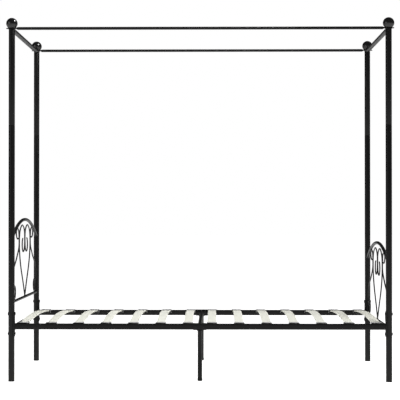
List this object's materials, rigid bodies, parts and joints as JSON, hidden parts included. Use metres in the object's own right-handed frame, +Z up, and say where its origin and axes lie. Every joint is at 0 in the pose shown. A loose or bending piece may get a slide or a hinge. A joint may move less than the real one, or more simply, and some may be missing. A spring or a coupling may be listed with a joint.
{
  "type": "four poster canopy bed",
  "caption": "Single canopy bed of black steel tube: ball-topped posts, top frame, heart and scroll end panels, and a base of bowed wooden slats on a bolted frame.",
  "frame": {"origin": "on the floor under the middle of the bed", "axes": "+X along the bed from head to foot, +Y across the bed from the front side to the back side, +Z up"},
  "size_m": [2.107, 0.992, 1.9736],
  "materials": {
    "coating": "satin black powder coat with a fine orange peel",
    "bolt_steel": "black oxide, slightly glossier than the tubes",
    "black_plastic": "fine moulded grain",
    "plywood": "pale satin laminated wood"
  },
  "bodies": {
    "root": {"canopy_crossbar_foot": "coating", "canopy_crossbar_head": "coating", "canopy_rail_back": "coating", "canopy_rail_front": "coating", "centre_crossbar": "coating", "centre_leg_back": "coating", "centre_leg_front": "coating", "finial_back_foot": "coating", "finial_back_head": "coating", "finial_front_foot": "coating", "finial_front_head": "coating", "foot_arch": "coating", "foot_cap_back_foot": "black_plastic", "foot_cap_back_head": "black_plastic", "foot_cap_front_foot": "black_plastic", "foot_cap_front_head": "black_plastic", "foot_low_rail": "coating", "foot_scrollwork_back": "coating", "foot_scrollwork_front": "coating", "head_arch": "coating", "head_deck_crossbar": "coating", "head_low_rail": "coating", "head_scrollwork_back": "coating", "head_scrollwork_front": "coating", "lower_post_back_foot": "coating", "lower_post_back_head": "coating", "lower_post_front_foot": "coating", "lower_post_front_head": "coating", "rail_coupler_back": "coating", "rail_coupler_front": "coating", "saddle_bolt_back_foot_high": "bolt_steel", "saddle_bolt_back_foot_low": "bolt_steel", "saddle_bolt_back_head_high": "bolt_steel", "saddle_bolt_back_head_low": "bolt_steel", "saddle_bolt_front_foot_high": "bolt_steel", "saddle_bolt_front_foot_low": "bolt_steel", "saddle_bolt_front_head_high": "bolt_steel", "saddle_bolt_front_head_low": "bolt_steel", "side_rail_back_foot": "coating", "side_rail_back_head": "coating", "side_rail_front_foot": "coating", "side_rail_front_head": "coating", "slat_01": "plywood", "slat_02": "plywood", "slat_03": "plywood", "slat_04": "plywood", "slat_05": "plywood", "slat_06": "plywood", "slat_07": "plywood", "slat_08": "plywood", "slat_09": "plywood", "slat_10": "plywood", "slat_11": "plywood", "slat_12": "plywood", "slat_13": "plywood", "slat_14": "plywood", "upper_post_back_foot": "coating", "upper_post_back_head": "coating", "upper_post_front_foot": "coating", "upper_post_front_head": "coating"}
  },
  "joints": []
}
